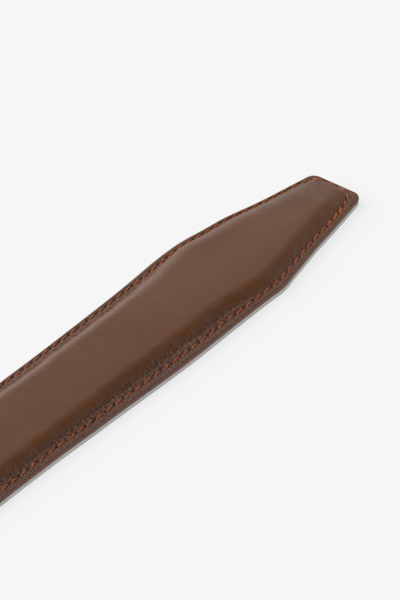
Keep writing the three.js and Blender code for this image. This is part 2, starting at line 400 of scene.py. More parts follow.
def greySplitLeather():
    look = backingLook
    material, tree, shader, place = newMaterial("grey_split_leather", IOR=1.45, Roughness=0.72)
    fibres = addNode(tree, "ShaderNodeMapping",
                     values={"Scale": (1 / (look["fibreLength"] * mm), 1 / (look["fibreWidth"] * mm),
                                       1 / (look["fibreWidth"] * mm))},
                     links={"Vector": (place, "Object")})
    noise = addNode(tree, "ShaderNodeTexNoise", values={"Scale": 1.0, "Detail": 4.0, "Roughness": 0.6},
                    links={"Vector": (fibres, "Vector")})
    mix = addNode(tree, "ShaderNodeMix", {"data_type": "RGBA"},
                  {"A": toLinear(look["fibre"]), "B": toLinear(look["face"])},
                  {"Factor": (noise, "Fac")})
    rise = addNode(tree, "ShaderNodeAttribute", {"attribute_name": "rise"})
    # Painted shade: darker towards the bottom, by height over the underside
    lowShadeShare = addNode(tree, "ShaderNodeMapRange", {"interpolation_type": "SMOOTHSTEP"},
                       {"From Min": look["lowTo"][0], "From Max": look["lowTo"][1],
                        "To Min": look["lowShadeShare"], "To Max": 0.0}, {"Value": (rise, "Fac")})
    toned = addNode(tree, "ShaderNodeMix", {"data_type": "RGBA"}, {"B": toLinear(look["low"])},
                    {"A": (mix, "Result"), "Factor": (lowShadeShare, "Result")})
    stains = addNode(tree, "ShaderNodeMapping", values={"Scale": (1 / (look["stainSize"] * mm),) * 3},
                     links={"Vector": (place, "Object")})
    cloud = addNode(tree, "ShaderNodeTexNoise", values={"Scale": 1.0, "Detail": 5.0, "Roughness": 0.65},
                    links={"Vector": (stains, "Vector")})
    clouded = addNode(tree, "ShaderNodeMapRange",
                      values={"From Min": look["stainRange"][0], "From Max": look["stainRange"][1],
                              "To Min": 0.0, "To Max": look["stainShare"]},
                      links={"Value": (cloud, "Fac")})
    stained = addNode(tree, "ShaderNodeMix", {"data_type": "RGBA"}, {"B": toLinear(look["stain"])},
                      {"A": (toned, "Result"), "Factor": (clouded, "Result")})
    tree.links.new(stained.outputs["Result"], shader.inputs["Base Color"])
    bump = addNode(tree, "ShaderNodeBump", values={"Strength": look["bump"][0],
                                                     "Distance": look["bump"][1] * mm},
                   links={"Height": (noise, "Fac")})
    tree.links.new(bump.outputs["Normal"], shader.inputs["Normal"])
    return material


# Bonded polyester thread, rust orange: two plies twisted together, with a soft waxy shine, and
# painted shade that darkens the grooves between the plies
threadLook = {
    "light": "#b25427",
    "dark": "#682b13",
    "twistPitch": 0.8,
    "spotSize": 4.0,
    "plyShadeShare": 0.45,            # how much the plies count in the colour, next to the spots
    "bump": (0.5, 0.08),
}


def bondedThread():
    look = threadLook
    material, tree, shader, place = newMaterial("bonded_polyester_thread", IOR=1.5, Roughness=0.6)
    twist = addNode(tree, "ShaderNodeUVMap", {"uv_map": "twist"})
    plies = addNode(tree, "ShaderNodeTexWave", {"wave_type": "BANDS", "bands_direction": "DIAGONAL"},
                    {"Scale": 1.0, "Distortion": 0.4, "Detail": 1.0}, {"Vector": (twist, "UV")})
    spots = addNode(tree, "ShaderNodeMapping", values={"Scale": (1 / (look["spotSize"] * mm),) * 3},
                    links={"Vector": (place, "Object")})
    noise = addNode(tree, "ShaderNodeTexNoise", values={"Scale": 1.0, "Detail": 2.0},
                    links={"Vector": (spots, "Vector")})
    # Painted shade: the colour is darker where the ply wave, also the bump's height, is low
    share = addNode(tree, "ShaderNodeMath", {"operation": "MULTIPLY_ADD"}, {1: look["plyShadeShare"], 2: 0.0},
                    {0: (plies, "Fac")})
    whole = addNode(tree, "ShaderNodeMath", {"operation": "ADD"}, None,
                    {0: (share, "Value"), 1: (noise, "Fac")})
    mix = addNode(tree, "ShaderNodeMix", {"data_type": "RGBA"},
                  {"A": toLinear(look["dark"]), "B": toLinear(look["light"])},
                  {"Factor": (whole, "Value")})
    tree.links.new(mix.outputs["Result"], shader.inputs["Base Color"])
    bump = addNode(tree, "ShaderNodeBump", values={"Strength": look["bump"][0],
                                                     "Distance": look["bump"][1] * mm},
                   links={"Height": (plies, "Fac")})
    tree.links.new(bump.outputs["Normal"], shader.inputs["Normal"])
    return material


# Satin nickel plate on cast zinc, brushed across the belt: warm grey with fine straight lines
buckleLook = {"metal": "#7f7c76", "line": "#6c6964", "roughness": 0.4, "lineLength": 30.0,
              "lineWidth": 0.14, "shineChange": (-0.06, 0.1), "bump": (0.3, 0.02)}


def satinNickel():
    look = buckleLook
    material, tree, shader, place = newMaterial("satin_nickel_zinc", Metallic=1.0,
                                                Roughness=look["roughness"])
    brushed = addNode(tree, "ShaderNodeMapping",
                      values={"Scale": (1 / (look["lineWidth"] * mm), 1 / (look["lineLength"] * mm),
                                        1 / (look["lineWidth"] * mm))},
                      links={"Vector": (place, "Object")})
    lines = addNode(tree, "ShaderNodeTexNoise", values={"Scale": 1.0, "Detail": 3.0, "Roughness": 0.7},
                    links={"Vector": (brushed, "Vector")})
    tint = addNode(tree, "ShaderNodeMix", {"data_type": "RGBA"},
                   {"A": toLinear(look["line"]), "B": toLinear(look["metal"])},
                   {"Factor": (lines, "Fac")})
    tree.links.new(tint.outputs["Result"], shader.inputs["Base Color"])
    bump = addNode(tree, "ShaderNodeBump", values={"Strength": look["bump"][0],
                                                     "Distance": look["bump"][1] * mm},
                   links={"Height": (lines, "Fac")})
    tree.links.new(bump.outputs["Normal"], shader.inputs["Normal"])
    shine = addNode(tree, "ShaderNodeMapRange",
                    values={"From Min": middleRange[0], "From Max": middleRange[1],
                            "To Min": look["roughness"] + look["shineChange"][0],
                            "To Max": look["roughness"] + look["shineChange"][1]},
                    links={"Value": (lines, "Fac")})
    tree.links.new(shine.outputs["Result"], shader.inputs["Roughness"])
    return material


# Moulded nylon, black: a low even shine with a faint spark-eroded texture
nylonLook = {"dark": "#151415", "light": "#242224", "gritSize": 0.3, "bump": (0.2, 0.03)}


def mouldedNylon():
    look = nylonLook
    material, tree, shader, place = newMaterial("moulded_nylon", IOR=1.53, Roughness=0.42)
    grit = addNode(tree, "ShaderNodeMapping", values={"Scale": (1 / (look["gritSize"] * mm),) * 3},
                   links={"Vector": (place, "Object")})
    noise = addNode(tree, "ShaderNodeTexNoise", values={"Scale": 1.0, "Detail": 3.0},
                    links={"Vector": (grit, "Vector")})
    mix = addNode(tree, "ShaderNodeMix", {"data_type": "RGBA"},
                  {"A": toLinear(look["dark"]), "B": toLinear(look["light"])}, {"Factor": (noise, "Fac")})
    tree.links.new(mix.outputs["Result"], shader.inputs["Base Color"])
    bump = addNode(tree, "ShaderNodeBump", values={"Strength": look["bump"][0],
                                                     "Distance": look["bump"][1] * mm},
                   links={"Height": (noise, "Fac")})
    tree.links.new(bump.outputs["Normal"], shader.inputs["Normal"])
    return material


# Camera at the photograph's angle: a long lens, level, looking down on the belt's pointed end
view = {
    "azimuth": -52.26,
    "elevation": 36.0,
    "distance": 3.0,
    "focalPixels": 10620.0,
    "imageLongSide": 600.0,
    "sensorWidth": 36.0,
    "clipEnd": 200.0,
    "aimBack": 70.0,             # the point of the belt, back from the tip, that lies at aimPixel
    "aimPixel": (187.61, 305.41),
    "imageMiddle": (200.0, 300.0),
}


def makeCamera():
    azimuth, elevation = math.radians(view["azimuth"]), math.radians(view["elevation"])
    back = Vector((math.sin(azimuth) * math.cos(elevation),
                   -math.cos(azimuth) * math.cos(elevation),
                   math.sin(elevation)))
    right = Vector((math.cos(azimuth), math.sin(azimuth), 0))
    up = back.cross(right)
    data = bpy.data.cameras.new("photo_camera")
    data.sensor_width = view["sensorWidth"]
    data.lens = data.sensor_width * view["focalPixels"] / view["imageLongSide"]
    data.clip_end = view["clipEnd"]
    metresPerPixel = view["distance"] / view["focalPixels"]
    rightShift = (view["imageMiddle"][0] - view["aimPixel"][0]) * metresPerPixel
    upShift = (view["aimPixel"][1] - view["imageMiddle"][1]) * metresPerPixel
    target = Vector(((tipX - view["aimBack"]) * mm, 0, 0))
    camera = addObject("photo_camera", data)
    camera.location = target + back * view["distance"] + right * rightShift + up * upShift
    camera.rotation_euler = (-back).to_track_quat("-Z", "Y").to_euler()
    bpy.context.scene.camera = camera


# Pale studio: light walls near the horizon, a dark ceiling, one broad soft lamp behind, and a
# floor of lit white paper, which keeps the shadows faint
studio = {
    "floorSize": 80.0,
    "floor": "#6a6a6a",
    "floorGlow": 0.764,
    "wall": 1.18,
    "ceiling": 0.005,
    "wallTop": (0.285, 0.66),    # height on the sky, as sine, where wall goes over to ceiling
    "lampStrength": 4.2,
    "lampAngle": 70.0,
    "lampFrom": (-0.42, 0.66, 0.62),
}


def makeStudio():
    world = bpy.data.worlds.new("studio")
    bpy.context.scene.world = world
    world.use_nodes = True
    tree = world.node_tree
    background = tree.nodes["Background"]
    direction = addNode(tree, "ShaderNodeTexCoord")
    parts = addNode(tree, "ShaderNodeSeparateXYZ", links={"Vector": (direction, "Generated")})
    level = addNode(tree, "ShaderNodeMapRange", {"interpolation_type": "SMOOTHSTEP"},
                    {"From Min": studio["wallTop"][0], "From Max": studio["wallTop"][1],
                     "To Min": studio["wall"], "To Max": studio["ceiling"]}, {"Value": (parts, "Z")})
    tree.links.new(level.outputs["Result"], background.inputs["Strength"])
    background.inputs["Color"].default_value = (1, 1, 1, 1)

    lamp = bpy.data.lights.new("soft_lamp", "SUN")
    lamp.energy = studio["lampStrength"]
    lamp.angle = math.radians(studio["lampAngle"])
    lampObject = addObject("soft_lamp", lamp)
    lampObject.rotation_euler = Vector(studio["lampFrom"]).to_track_quat("Z", "Y").to_euler()

    half = studio["floorSize"] / 2
    mesh = bpy.data.meshes.new("floor")
    corners = [(-half, -half, 0), (half, -half, 0), (half, half, 0), (-half, half, 0)]
    mesh.from_pydata(corners, [], [(0, 1, 2, 3)])
    paper = newMaterial("matt_paper", Base_Color=toLinear(studio["floor"]), Roughness=0.9,
                        Specular_IOR_Level=0.0, Emission_Color=(1, 1, 1, 1),
                        Emission_Strength=studio["floorGlow"])[0]
    mesh.materials.append(paper)
    floor = addObject("floor", mesh)
    bpy.context.scene.view_settings.view_transform = "Standard"


makeCamera()
makeStudio()
print("camera and studio made")


# Stitches
stitch = {
    "pitch": 4.2,
    "farTaperPitch": 3.7,
    "share": 0.8,                # of the pitch that one piece of thread spans
    "radius": 0.25,
    "slant": 0.2,
    "sink": 0.46,                # how far the thread's ends go down into their holes
    # Inset of the seam at places back from the tip: it wanders as a hand-guided seam does
    "nearInset": ((8, 2.05), (12, 1.75), (16, 1.65), (20, 1.95), (60, 2.1), (90, 2.45), (150, 2.6),
                  (210, 2.0)),
    "farInset": ((0, 0.95), (20, 0.95), (46, 1.6), (62, 1.9), (86, 1.6), (118, 1.25), (200, 2.0)),
    "round": ((8.4, -8.1), (6.8, -7.7), (4.85, -6.97), (2.9, -6.2), (1.55, -5.1), (1.1, -3.6),
              (1.15, 0.7), (1.35, 4.1), (1.9, 6.1), (3.2, 7.6), (5.6, 8.5)),
    "cornerRow": 4,              # row above where the needle turns the near corner
    "rowStep": 1.5,              # spacing of the seam's rows on the sides
    "joinGap": 1.0,              # least gap between the near side's last row and the first of round
    "intoJaw": 12.0,             # how far the seam goes on inside the jaw
    "sides": 8,
    "rings": 11,
    "archPower": 3,
    "rest": 0.75,                # height of the thread's middle over the face, as share of its radius
    "endRadius": 0.4,            # share of the radius left at the ends
    "squash": 0.85,
    "shiftChange": 0.05,
    # The seam's ends are locked by sewing back over it, from the second hole past the corner: rows
    # of (way to the side, share of the pitch, lift), one for each strand
    "tackFrom": 2,
    "tackCount": 3,
    "tackLayers": ((0.24, 1.02, 0.0), (-0.24, 0.96, 0.03), (0.02, 0.9, 0.1)),
    "tackThickness": 0.62,
    "tackPitch": 3.5,            # from the corner to the last of these stitches
    "tackHoleWidth": 0.55,
    "tackHoleDepth": 1.6,        # as share of a plain hole's
    "tackHoles": 2,
    "tackPlaceChange": 0.25,
    "tackSideChange": 0.12,
    "seed": 5,                   # of the small changes from stitch to stitch
}


# Line that the needle follows, as rows of (back, across): from the jaw along the near side, round
# the tip by its own rows, and back along the far side. On the sides, across is half of the
# strap's width less the seam's inset
def seamLine():
    s = stitch
    seamEnd = jawBack + s["intoJaw"]
    nearBack = np.arange(seamEnd, s["round"][0][0] + s["joinGap"], -s["rowStep"])
    farBack = np.arange(s["round"][-1][0] + s["rowStep"], seamEnd, s["rowStep"])
    nearAcross = np.interp(nearBack, *zip(*s["nearInset"])) - halfWidth(nearBack)
    farAcross = halfWidth(farBack) - np.interp(farBack, *zip(*s["farInset"]))
    return np.stack([nearBack, nearAcross], axis=1), np.stack([farBack, farAcross], axis=1)


nearSide, farSide = seamLine()
seam = np.vstack([nearSide, stitch["round"], farSide])
lengths = np.concatenate([[0], np.cumsum(np.linalg.norm(np.diff(seam, axis=0), axis=1))])
cornerAt = lengths[len(nearSide) + stitch["cornerRow"]]
lockedFrom = cornerAt - stitch["tackFrom"] * stitch["tackPitch"]


# Place on the seam at a distance along it
def seamPoint(distance):
    return np.stack([np.interp(distance, lengths, seam[:, 0]),
                     np.interp(distance, lengths, seam[:, 1])], axis=-1)


# Distances along the seam at which the needle goes in, with one hole in the near corner. The
# pitch is shorter on the far taper and in the locked stretch
def needleHoles():
    s = stitch
    taperFrom = lengths[-1] / 2 + strap["tipEnd"] / 2
    tackEnd = lockedFrom - s["tackCount"] * s["tackPitch"]
    justBefore = 0.1
    places = []
    at = tackEnd % s["pitch"]
    while at < lengths[-1] - s["pitch"]:
        places.append(at)
        onFarTaper = taperFrom < at < taperFrom + strap["taper"]
        locked = tackEnd - justBefore < at < cornerAt - justBefore
        at += s["farTaperPitch"] if onFarTaper else s["tackPitch"] if locked else s["pitch"]
    return np.array(places)


needlePlaces = seamPoint(needleHoles())


# The way to the seam from each point, worked out only where the inset is small, and a value
# that is past all grooves elsewhere
def seamWay(back, across, inset, reach=4.5, faraway=9.0):
    way = np.full(back.shape, faraway)
    close = inset < reach
    way[close] = wayTo(seam, back[close], across[close])
    return way


# How near each point is to the seam and to a needle hole: the way to the seam, and the dips
# exp(-(d / width)^2), d being the way to the nearest hole. Holes are shallow on the far side of
# the taper, and wide and deep where the seam is locked
def seamMarks(back, across):
    way = seamWay(back, across, insetAt(back, across))
    close = way < upper["holeReach"]
    here = np.stack([back[close], across[close]], axis=-1)
    nearest = np.full(len(here), np.inf)
    # The holes are taken a few at a time, to keep the table of gaps small
    for part in np.array_split(needlePlaces, 12):
        gap = np.linalg.norm(here[:, None, :] - part[None], axis=-1)
        nearest = np.minimum(nearest, gap.min(axis=1))
    dips = np.zeros(back.shape)
    onTaper = 1 - smoothStep(back, *upper["farTaperEnd"])
    shallow = (1 - upper["farTaperHole"]) * (across > 0) * onTaper
    dips[close] = hump(nearest, 0, upper["holeWidth"]) * (1 - shallow[close])
    for wideHole in seamPoint(lockedFrom - stitch["tackPitch"] * np.arange(stitch["tackHoles"])):
        wide = hump(np.hypot(back - wideHole[0], across - wideHole[1]), 0, stitch["tackHoleWidth"])
        dips = np.maximum(dips, stitch["tackHoleDepth"] * wide)
    return way, dips


# Padded upper
upper = {
    "seam": 1.44,                # underside, just above the backing
    "edge": 1.31,
    "edgeRoll": 0.26,
    "edgeDrop": 0.16,
    "marginRise": 0.1,
    "marginRun": 2.0,
    "flatRise": 0.12,            # unpadded strip between the stitches and the padding
    "flatFrom": (2.0, 3.4),
    # Where tip goes over to taper, and taper to the main stretch
    "changes": (6, 38, 46, 76),
    "farStartChanges": (6, 38, 48, 80),
    "sideBlend": 8.0,            # half of the width over which near goes over to far
    "crown": (0.15, 0.3, 0.35),
    # Inset at which the padding begins, and its height: at the tip, on the taper, after it
    "farStart": (1.3, 1.5, 3.6),
    "nearStart": (2.4, 2.8, 4.4),
    "farRise": (0.6, 1.05, 1.8),
    "nearRise": (1.15, 1.45, 1.8),
    "riseChanges": (4, 44, 42, 92),
    # How far the start of the padding wanders, which makes the foot of its flank uneven
    "startSway": 0.45,
    "startSwayLength": 17.0,
    "startSwayFrom": (10, 60),
    # Width of the flank, over which the padding rises
    "farRun": (6.5, 5.4, 5.7),
    "nearRun": (5.2, 5.4, 5.5),
    # Power of the flank's profile: near 1 a plain slope, 3 a round shoulder
    "farPower": (3.0, 3.0, 3.0),
    "nearPower": (1.5, 2.6, 3.0),
    "footRound": 0.08,
    "roomSamples": 2400,         # places at which the way from the side line to the middle is read
    "creaseOut": 0.75,           # how far outside the stitches the crease is pressed
    "creaseDepth": 0.12,
    "creaseWidth": 0.2,
    # How the crease comes and goes: size, length and seed of each ripple, and where it begins
    "press": ((0.7, 23.0, 4), (0.5, 5.0, 6)),
    "pressLimits": (0.05, 1.0),
    "pressFromFar": (40, 70),
    "pressFromNear": (9, 30),
    "grooveDepth": 0.22,
    "grooveWidth": 0.42,
    "tipGroove": 0.3,            # share of the groove's depth at the tip's end
    "tipGrooveTo": (1.5, 6.0),
    "holeDepth": 0.34,
    "holeReach": 1.2,
    "holeWidth": 0.42,
    "farTaperHole": 0.5,         # share of a hole's dip on the far side of the taper
    "farTaperEnd": (40, 75),
    "puckerHeight": 0.19,
    "puckerLength": 1.15,
    "puckerSpread": 1.3,
    "looseFrom": (1.9, 2.6),     # inset at which the puckers begin, inside the stitches
    "farCrumpling": 0.5,              # the far side is less crumpled
    # Share of the crumpling, of the puckers and of the pull at the tip, on the taper, after it
    "crumpling": (0.2, 0.35, 1.0),
    "crumplingTo": (0.05, 0.7),       # share of the flank over which the crumpling dies away
    "loose": (0.3, 0.7, 1.0),
    "pull": (0.3, 0.5, 1.0),
    "pullHeight": 0.05,
    "pullLength": 6.0,
    "pullSpread": 0.5,
    "pullFrom": (0.05, 0.4),     # shares of the flank over which the pull comes and goes
    "pullTo": (0.5, 0.95),
    "tipEnd": (1.5, 2.1, 13.0),  # where the padding steps up inside the end seam, and is level
    "tipStepShare": 0.54,
    "wallBulge": 0.1,
    "wallShares": (0.2, 0.45, 0.7, 0.9, 1.0),
    # Rows: close together at the tip, even in the photographed stretch, wider apart after it
    "edgeRows": (0, 0.04, 0.1, 0.2),
    "cornerRows": (0.35, 3.4, 0.15),
    "tipRows": (3.5, 172.0, 0.36),
    "farStep": 2.4,
    # Columns as insets: over the rolled edge, then (from, to, count) of each even stretch
    "edgeColumns": (0, 0.04, 0.12, 0.24, 0.4, 0.6),
    "columns": ((0.75, 1.45, 8), (1.6, 2.4, 9), (2.6, 4.4, 8), (4.9, 10.0, 11)),
    "middleRoom": 3.0,
    "middleColumns": 7,
}


# Value along the strap that goes from tip to taper to main stretch by smooth steps
def alongStrap(back, levels, changes=upper["changes"]):
    atTip, onTaper, onMain = levels
    first = atTip + (onTaper - atTip) * smoothStep(back, changes[0], changes[1])
    return first + (onMain - onTaper) * smoothStep(back, changes[2], changes[3])


# Height of the padding: its rise plus a parabola's crown, times 1 - (1 - t)^p, t being the share
# of the flank that is passed. It ends in a step at the tip and fades out before the jaw. It comes
# with the share of the flank's height
def padding(back, across):
    u = upper
    toFar = smoothStep(across, -u["sideBlend"], u["sideBlend"])

    def bothSides(name, changes=u["changes"]):
        near = alongStrap(back, u["near" + name], changes)
        return near * (1 - toFar) + alongStrap(back, u["far" + name], changes) * toFar

    side = wayTo(sideLine, back, np.abs(across))
    places = np.linspace(0, strapLength, u["roomSamples"])
    room = np.interp(back, places, wayTo(sideLine, places, np.zeros_like(places)))
    start = np.where(across > 0, alongStrap(back, u["farStart"], u["farStartChanges"]),
                     alongStrap(back, u["nearStart"]))
    sway = u["startSway"] * ripple(sidePlaces(back, across, apart=700), u["startSwayLength"], seed=9)
    start = start + sway * smoothStep(back, *u["startSwayFrom"])
    run = np.minimum(bothSides("Run"), room - start)
    t = np.clip((side - start) / run, 0, 1)
    t = (1 + u["footRound"]) * t * t / (t + u["footRound"])
    flank = 1 - (1 - t) ** bothSides("Power")
    crown = alongStrap(back, u["crown"]) * (1 - np.clip(1 - side / room, 0, 1) ** 2)
    stepFrom, stepTo, levelFrom = u["tipEnd"]
    tipEnd = u["tipStepShare"] * smoothStep(back, stepFrom, stepTo)
    tipEnd = tipEnd + (1 - u["tipStepShare"]) * smoothStep(back, stepTo, levelFrom)
    jawEnd = smoothStep(jawBack - back, 0, strap["fadeRun"])
    return (bothSides("Rise", u["riseChanges"]) + crown) * flank * tipEnd * jawEnd, flank


# Height of the face over its underside: rolled edge, flat margin, padding, with a pressed crease
# outside the stitches, a groove along them, dips at the needle holes, puckers inside them, and
# long low waves that the seam pulls in the flank. It comes with what the material uses too:
# the crease's share, where it paints shade, and how crumpled the face is, where it paints shade
# in the wrinkles and pale streaks of sheen
def faceHeight(back, across, way, shadedHole):
    u = upper
    inset = insetAt(back, across)
    roll = np.sin(np.clip(inset / u["edgeRoll"], 0, 1) * np.pi / 2)
    height = u["edge"] - u["edgeDrop"] * (1 - roll)
    height = height + u["marginRise"] * np.clip(inset / u["marginRun"], 0, 1)
    height = height + u["flatRise"] * smoothStep(inset, *u["flatFrom"])
    pad, flank = padding(back, across)
    height = height + pad
    places = sidePlaces(back, across, apart=400)
    pressed = 0.5 + sum(size * ripple(places, length, seed) for size, length, seed in u["press"])
    pressed = np.clip(pressed, *u["pressLimits"])
    pressed = pressed * np.where(across > 0, smoothStep(back, *u["pressFromFar"]),
                                 smoothStep(back, *u["pressFromNear"]))
    seamInset = np.where(across > 0, np.interp(back, *zip(*stitch["farInset"])),
                         np.interp(back, *zip(*stitch["nearInset"])))
    shadedCrease = pressed * hump(inset, seamInset - u["creaseOut"], u["creaseWidth"])
    height = height - u["creaseDepth"] * shadedCrease
    groove = u["tipGroove"] + (1 - u["tipGroove"]) * smoothStep(back, *u["tipGrooveTo"])
    groove = u["grooveDepth"] * groove
    height = height - groove * hump(way, 0, u["grooveWidth"]) - u["holeDepth"] * shadedHole
    crumpled = (1 - smoothStep(flank, *u["crumplingTo"])) * np.where(across > 0, u["farCrumpling"], 1.0)
    crumpled = crumpled * alongStrap(back, u["crumpling"]) * smoothStep(jawBack - back, 0, strap["fadeRun"])
    loose = crumpled * smoothStep(inset, *u["looseFrom"]) * alongStrap(back, u["loose"])
    pucker = u["puckerHeight"] * crumple(back, across, u["puckerLength"], u["puckerSpread"],
                                         seed=11, terms=26)
    pull = u["pullHeight"] * crumple(back, across, u["pullLength"], u["pullSpread"], seed=12)
    pull = pull * smoothStep(flank, *u["pullFrom"]) * (1 - smoothStep(flank, *u["pullTo"]))
    height = height + pucker * loose + pull * alongStrap(back, u["pull"])
    return height, {"shadedCrease": shadedCrease, "crumpled": crumpled}


# The face as a surface of two parameters, place along the strap and place across it
def upperGrid():
    u = upper
    far = np.arange(u["tipRows"][1], strapLength - u["farStep"] / 2, u["farStep"])
    rows = np.concatenate([u["edgeRows"], np.arange(*u["cornerRows"]), np.arange(*u["tipRows"]),
                           far, [strapLength]])
    insets = np.concatenate([u["edgeColumns"]] + [np.linspace(*part) for part in u["columns"]])
    half = halfWidth(rows)
    squeeze = np.minimum(1, half / (insets[-1] + u["middleRoom"]))
    outer = half[:, None] - insets[None, :] * squeeze[:, None]
    inner = outer[:, -1:] * np.linspace(1, 0, u["middleColumns"])[None, 1:]
    right = np.concatenate([outer, inner], axis=1)
    across = np.concatenate([right, -right[:, -2::-1]], axis=1)
    back = np.repeat(rows[:, None], across.shape[1], axis=1)
    inset = insetAt(back, across)
    way, shadedHole = seamMarks(back, across)
    face, marks = faceHeight(back, across, way, shadedHole)
    height = underside(back) + u["seam"] + face
    return back, withStray(back, across, inset), height, {"shadedHole": shadedHole, **marks}


# The upper: the face, a bulged wall round its outline, and a flat underside. Wall points go
# outwards by the bulge times sin(pi t) on the way down, t being the share of the way
def makeUpper(material):
    u = upper
    back, across, height, marks = upperGrid()
    rowCount, columnCount = back.shape
    face = np.stack([tipX - back, across, height], axis=-1).reshape(-1, 3)
    index = gridIndex(rowCount, columnCount)
    # Round the outline: along the far side to the tip, back on the near side, over the cut end
    loop = np.concatenate([index[::-1, 0], index[0, 1:-1], index[:, -1], index[-1, -2:0:-1]])
    rim = face[loop]
    ahead, behind = np.roll(rim, -1, axis=0), np.roll(rim, 1, axis=0)
    tangent = (ahead - behind)[:, :2]
    outward = np.stack([-tangent[:, 1], tangent[:, 0]], axis=1)
    outward /= np.linalg.norm(outward, axis=1)[:, None]
    floor = underside(tipX - rim[:, 0]) + u["seam"]
    levels = []
    for share in u["wallShares"]:
        level = rim.copy()
        level[:, :2] += outward * u["wallBulge"] * math.sin(math.pi * share)
        level[:, 2] = rim[:, 2] + (floor - rim[:, 2]) * share
        levels.append(level)
    points = np.vstack([face] + levels)
    faces = gridCells(index).reshape(-1, 4).tolist()
    count = len(loop)
    rings = [loop] + [len(face) + i * count + np.arange(count) for i in range(len(levels))]
    for upperRing, lowerRing in zip(rings[:-1], rings[1:]):
        faces += np.stack([upperRing, np.roll(upperRing, -1), np.roll(lowerRing, -1), lowerRing],
                          axis=1).tolist()
    # The underside: strips from side to side, and one face at each end
    bottom = rings[-1]
    left = bottom[:rowCount][::-1]
    right = bottom[rowCount + columnCount - 2:2 * rowCount + columnCount - 2]
    faces += np.stack([left[1:-2], right[1:-2], right[2:-1], left[2:-1]], axis=1).tolist()
    tipEdge = bottom[rowCount - 1:rowCount + columnCount - 1]
    cutEdge = bottom[2 * rowCount + columnCount - 3:]
    faces.append([*tipEdge.tolist(), int(right[1]), int(left[1])])
    faces.append([*cutEdge.tolist(), int(left[-1]), int(left[-2]), int(right[-2])])
    piece = makePiece("leather_upper", points, faces, material, smoothAngle=60.0)
    floors = underside(tipX - points[:, 0]) + u["seam"]
    markPoints(piece, "rise", points[:, 2] - floors)
    for name, values in marks.items():
        markPoints(piece, name, np.concatenate([values.ravel(), np.zeros(count * len(levels))]))
    markPoints(piece, "wall", np.arange(len(points)) >= back.size)
    return piece


upperPiece = makeUpper(fullGrainLeather())
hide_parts("strap_upper")
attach(upperPiece, "root")
print("padded upper made")


# Grey backing
backing = {
    "thickness": backingThickness,
    "windowClearance": 0.3,
    # Columns: insets of the close ones, then places out from the middle, then over the window
    "edgeColumns": (0, 0.1),
    "fineFrom": 0.4,
    "fineTo": 3.0,
    "fineColumns": 19,
    "wideColumns": (13.0, 9.5),
    "windowColumns": 4,
    # Rows: (from, to, spacing) at the tip's corners and on the taper
    "edgeRows": (0, 0.1),
    "cornerRows": (0.3, 3.4, 0.15),
    "taperRows": (3.6, 60.0, 1.2),
    "grooveDepth": 0.5,
    "grooveWidth": 0.5,
    "edgeRound": 0.08,
    "step": 2.6,
    "endRoom": 1.0,              # least gap between the last even row and the cut end
}


# The backing as two grids, top and underside, with a groove for the stitches in the underside,
# joined by a wall round the outline and by a wall round the window that the track sits in
def makeBacking(material):
    b = backing
    clearance = b["windowClearance"]
    windowFrom = tipX - trackHigh.x / mm - clearance
    windowTo = tipX - trackLow.x / mm + clearance
    windowHalf = trackHigh.y / mm + clearance
    rows = np.unique(np.concatenate([
        b["edgeRows"], np.arange(*b["cornerRows"]), np.arange(*b["taperRows"]),
        np.arange(b["taperRows"][1], windowFrom, b["step"]), np.arange(windowFrom, windowTo, b["step"]),
        np.arange(windowTo, strapLength - b["endRoom"], b["step"]), [strapLength],
    ]))
    half = halfWidth(rows)
    insets = np.concatenate([b["edgeColumns"], np.linspace(b["fineFrom"], b["fineTo"], b["fineColumns"])])
    shares = np.concatenate([b["wideColumns"], windowHalf * np.linspace(1, 0, b["windowColumns"])])
    shares /= strap["width"] / 2 - b["fineTo"]
    outer = half[:, None] - insets[None, :]
    right = np.concatenate([outer, outer[:, -1:] * shares[None, :]], axis=1)
    across = np.concatenate([right, -right[:, -2::-1]], axis=1)
    back = np.repeat(rows[:, None], across.shape[1], axis=1)
    inset = insetAt(back, across)
    shifted = withStray(back, across, inset)
    way = seamWay(back, across, inset)
    groove = b["grooveDepth"] * hump(way, 0, b["grooveWidth"] / 2)
    turned = b["edgeRound"] * (1 - np.clip(inset / b["edgeColumns"][1], 0, 1))
    low = underside(back) + groove + turned
    high = underside(back) + b["thickness"] - turned
    topPoints = np.stack([tipX - back, shifted, high], axis=-1).reshape(-1, 3)
    bottomPoints = np.stack([tipX - back, shifted, low], axis=-1).reshape(-1, 3)
    points = np.vstack([topPoints, bottomPoints])
    middleRow = (rows[:-1] + rows[1:]) / 2
    middleColumn = (across[-1, :-1] + across[-1, 1:]) / 2
    solid = ~(((middleRow > windowFrom) & (middleRow < windowTo))[:, None]
              & (np.abs(middleColumn) < windowHalf)[None, :])
    index = gridIndex(*back.shape)
    below = index + back.size
    faces = gridCells(index)[solid].tolist() + gridCells(below)[solid][:, ::-1].tolist()
    # Walls stand where a solid cell meets a place with none, along the rows and the columns
    padded = np.pad(solid, 1)
    for axis in (0, 1):
        change = np.diff(padded.astype(int), axis=axis)
        rowAt, columnAt = np.nonzero(change)
        if axis == 0:
            first, second = (rowAt, columnAt - 1), (rowAt, columnAt)
        else:
            first, second = (rowAt - 1, columnAt), (rowAt, columnAt)
        faces += np.stack([index[first], index[second], below[second], below[first]],
                          axis=1).tolist()
    piece = makePiece("grey_backing", points, faces, material)
    markPoints(piece, "rise", points[:, 2] - underside(tipX - points[:, 0]))
    return piece


backingPiece = makeBacking(greySplitLeather())
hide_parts("strap_backing")
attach(backingPiece, "root")
print("backing made")


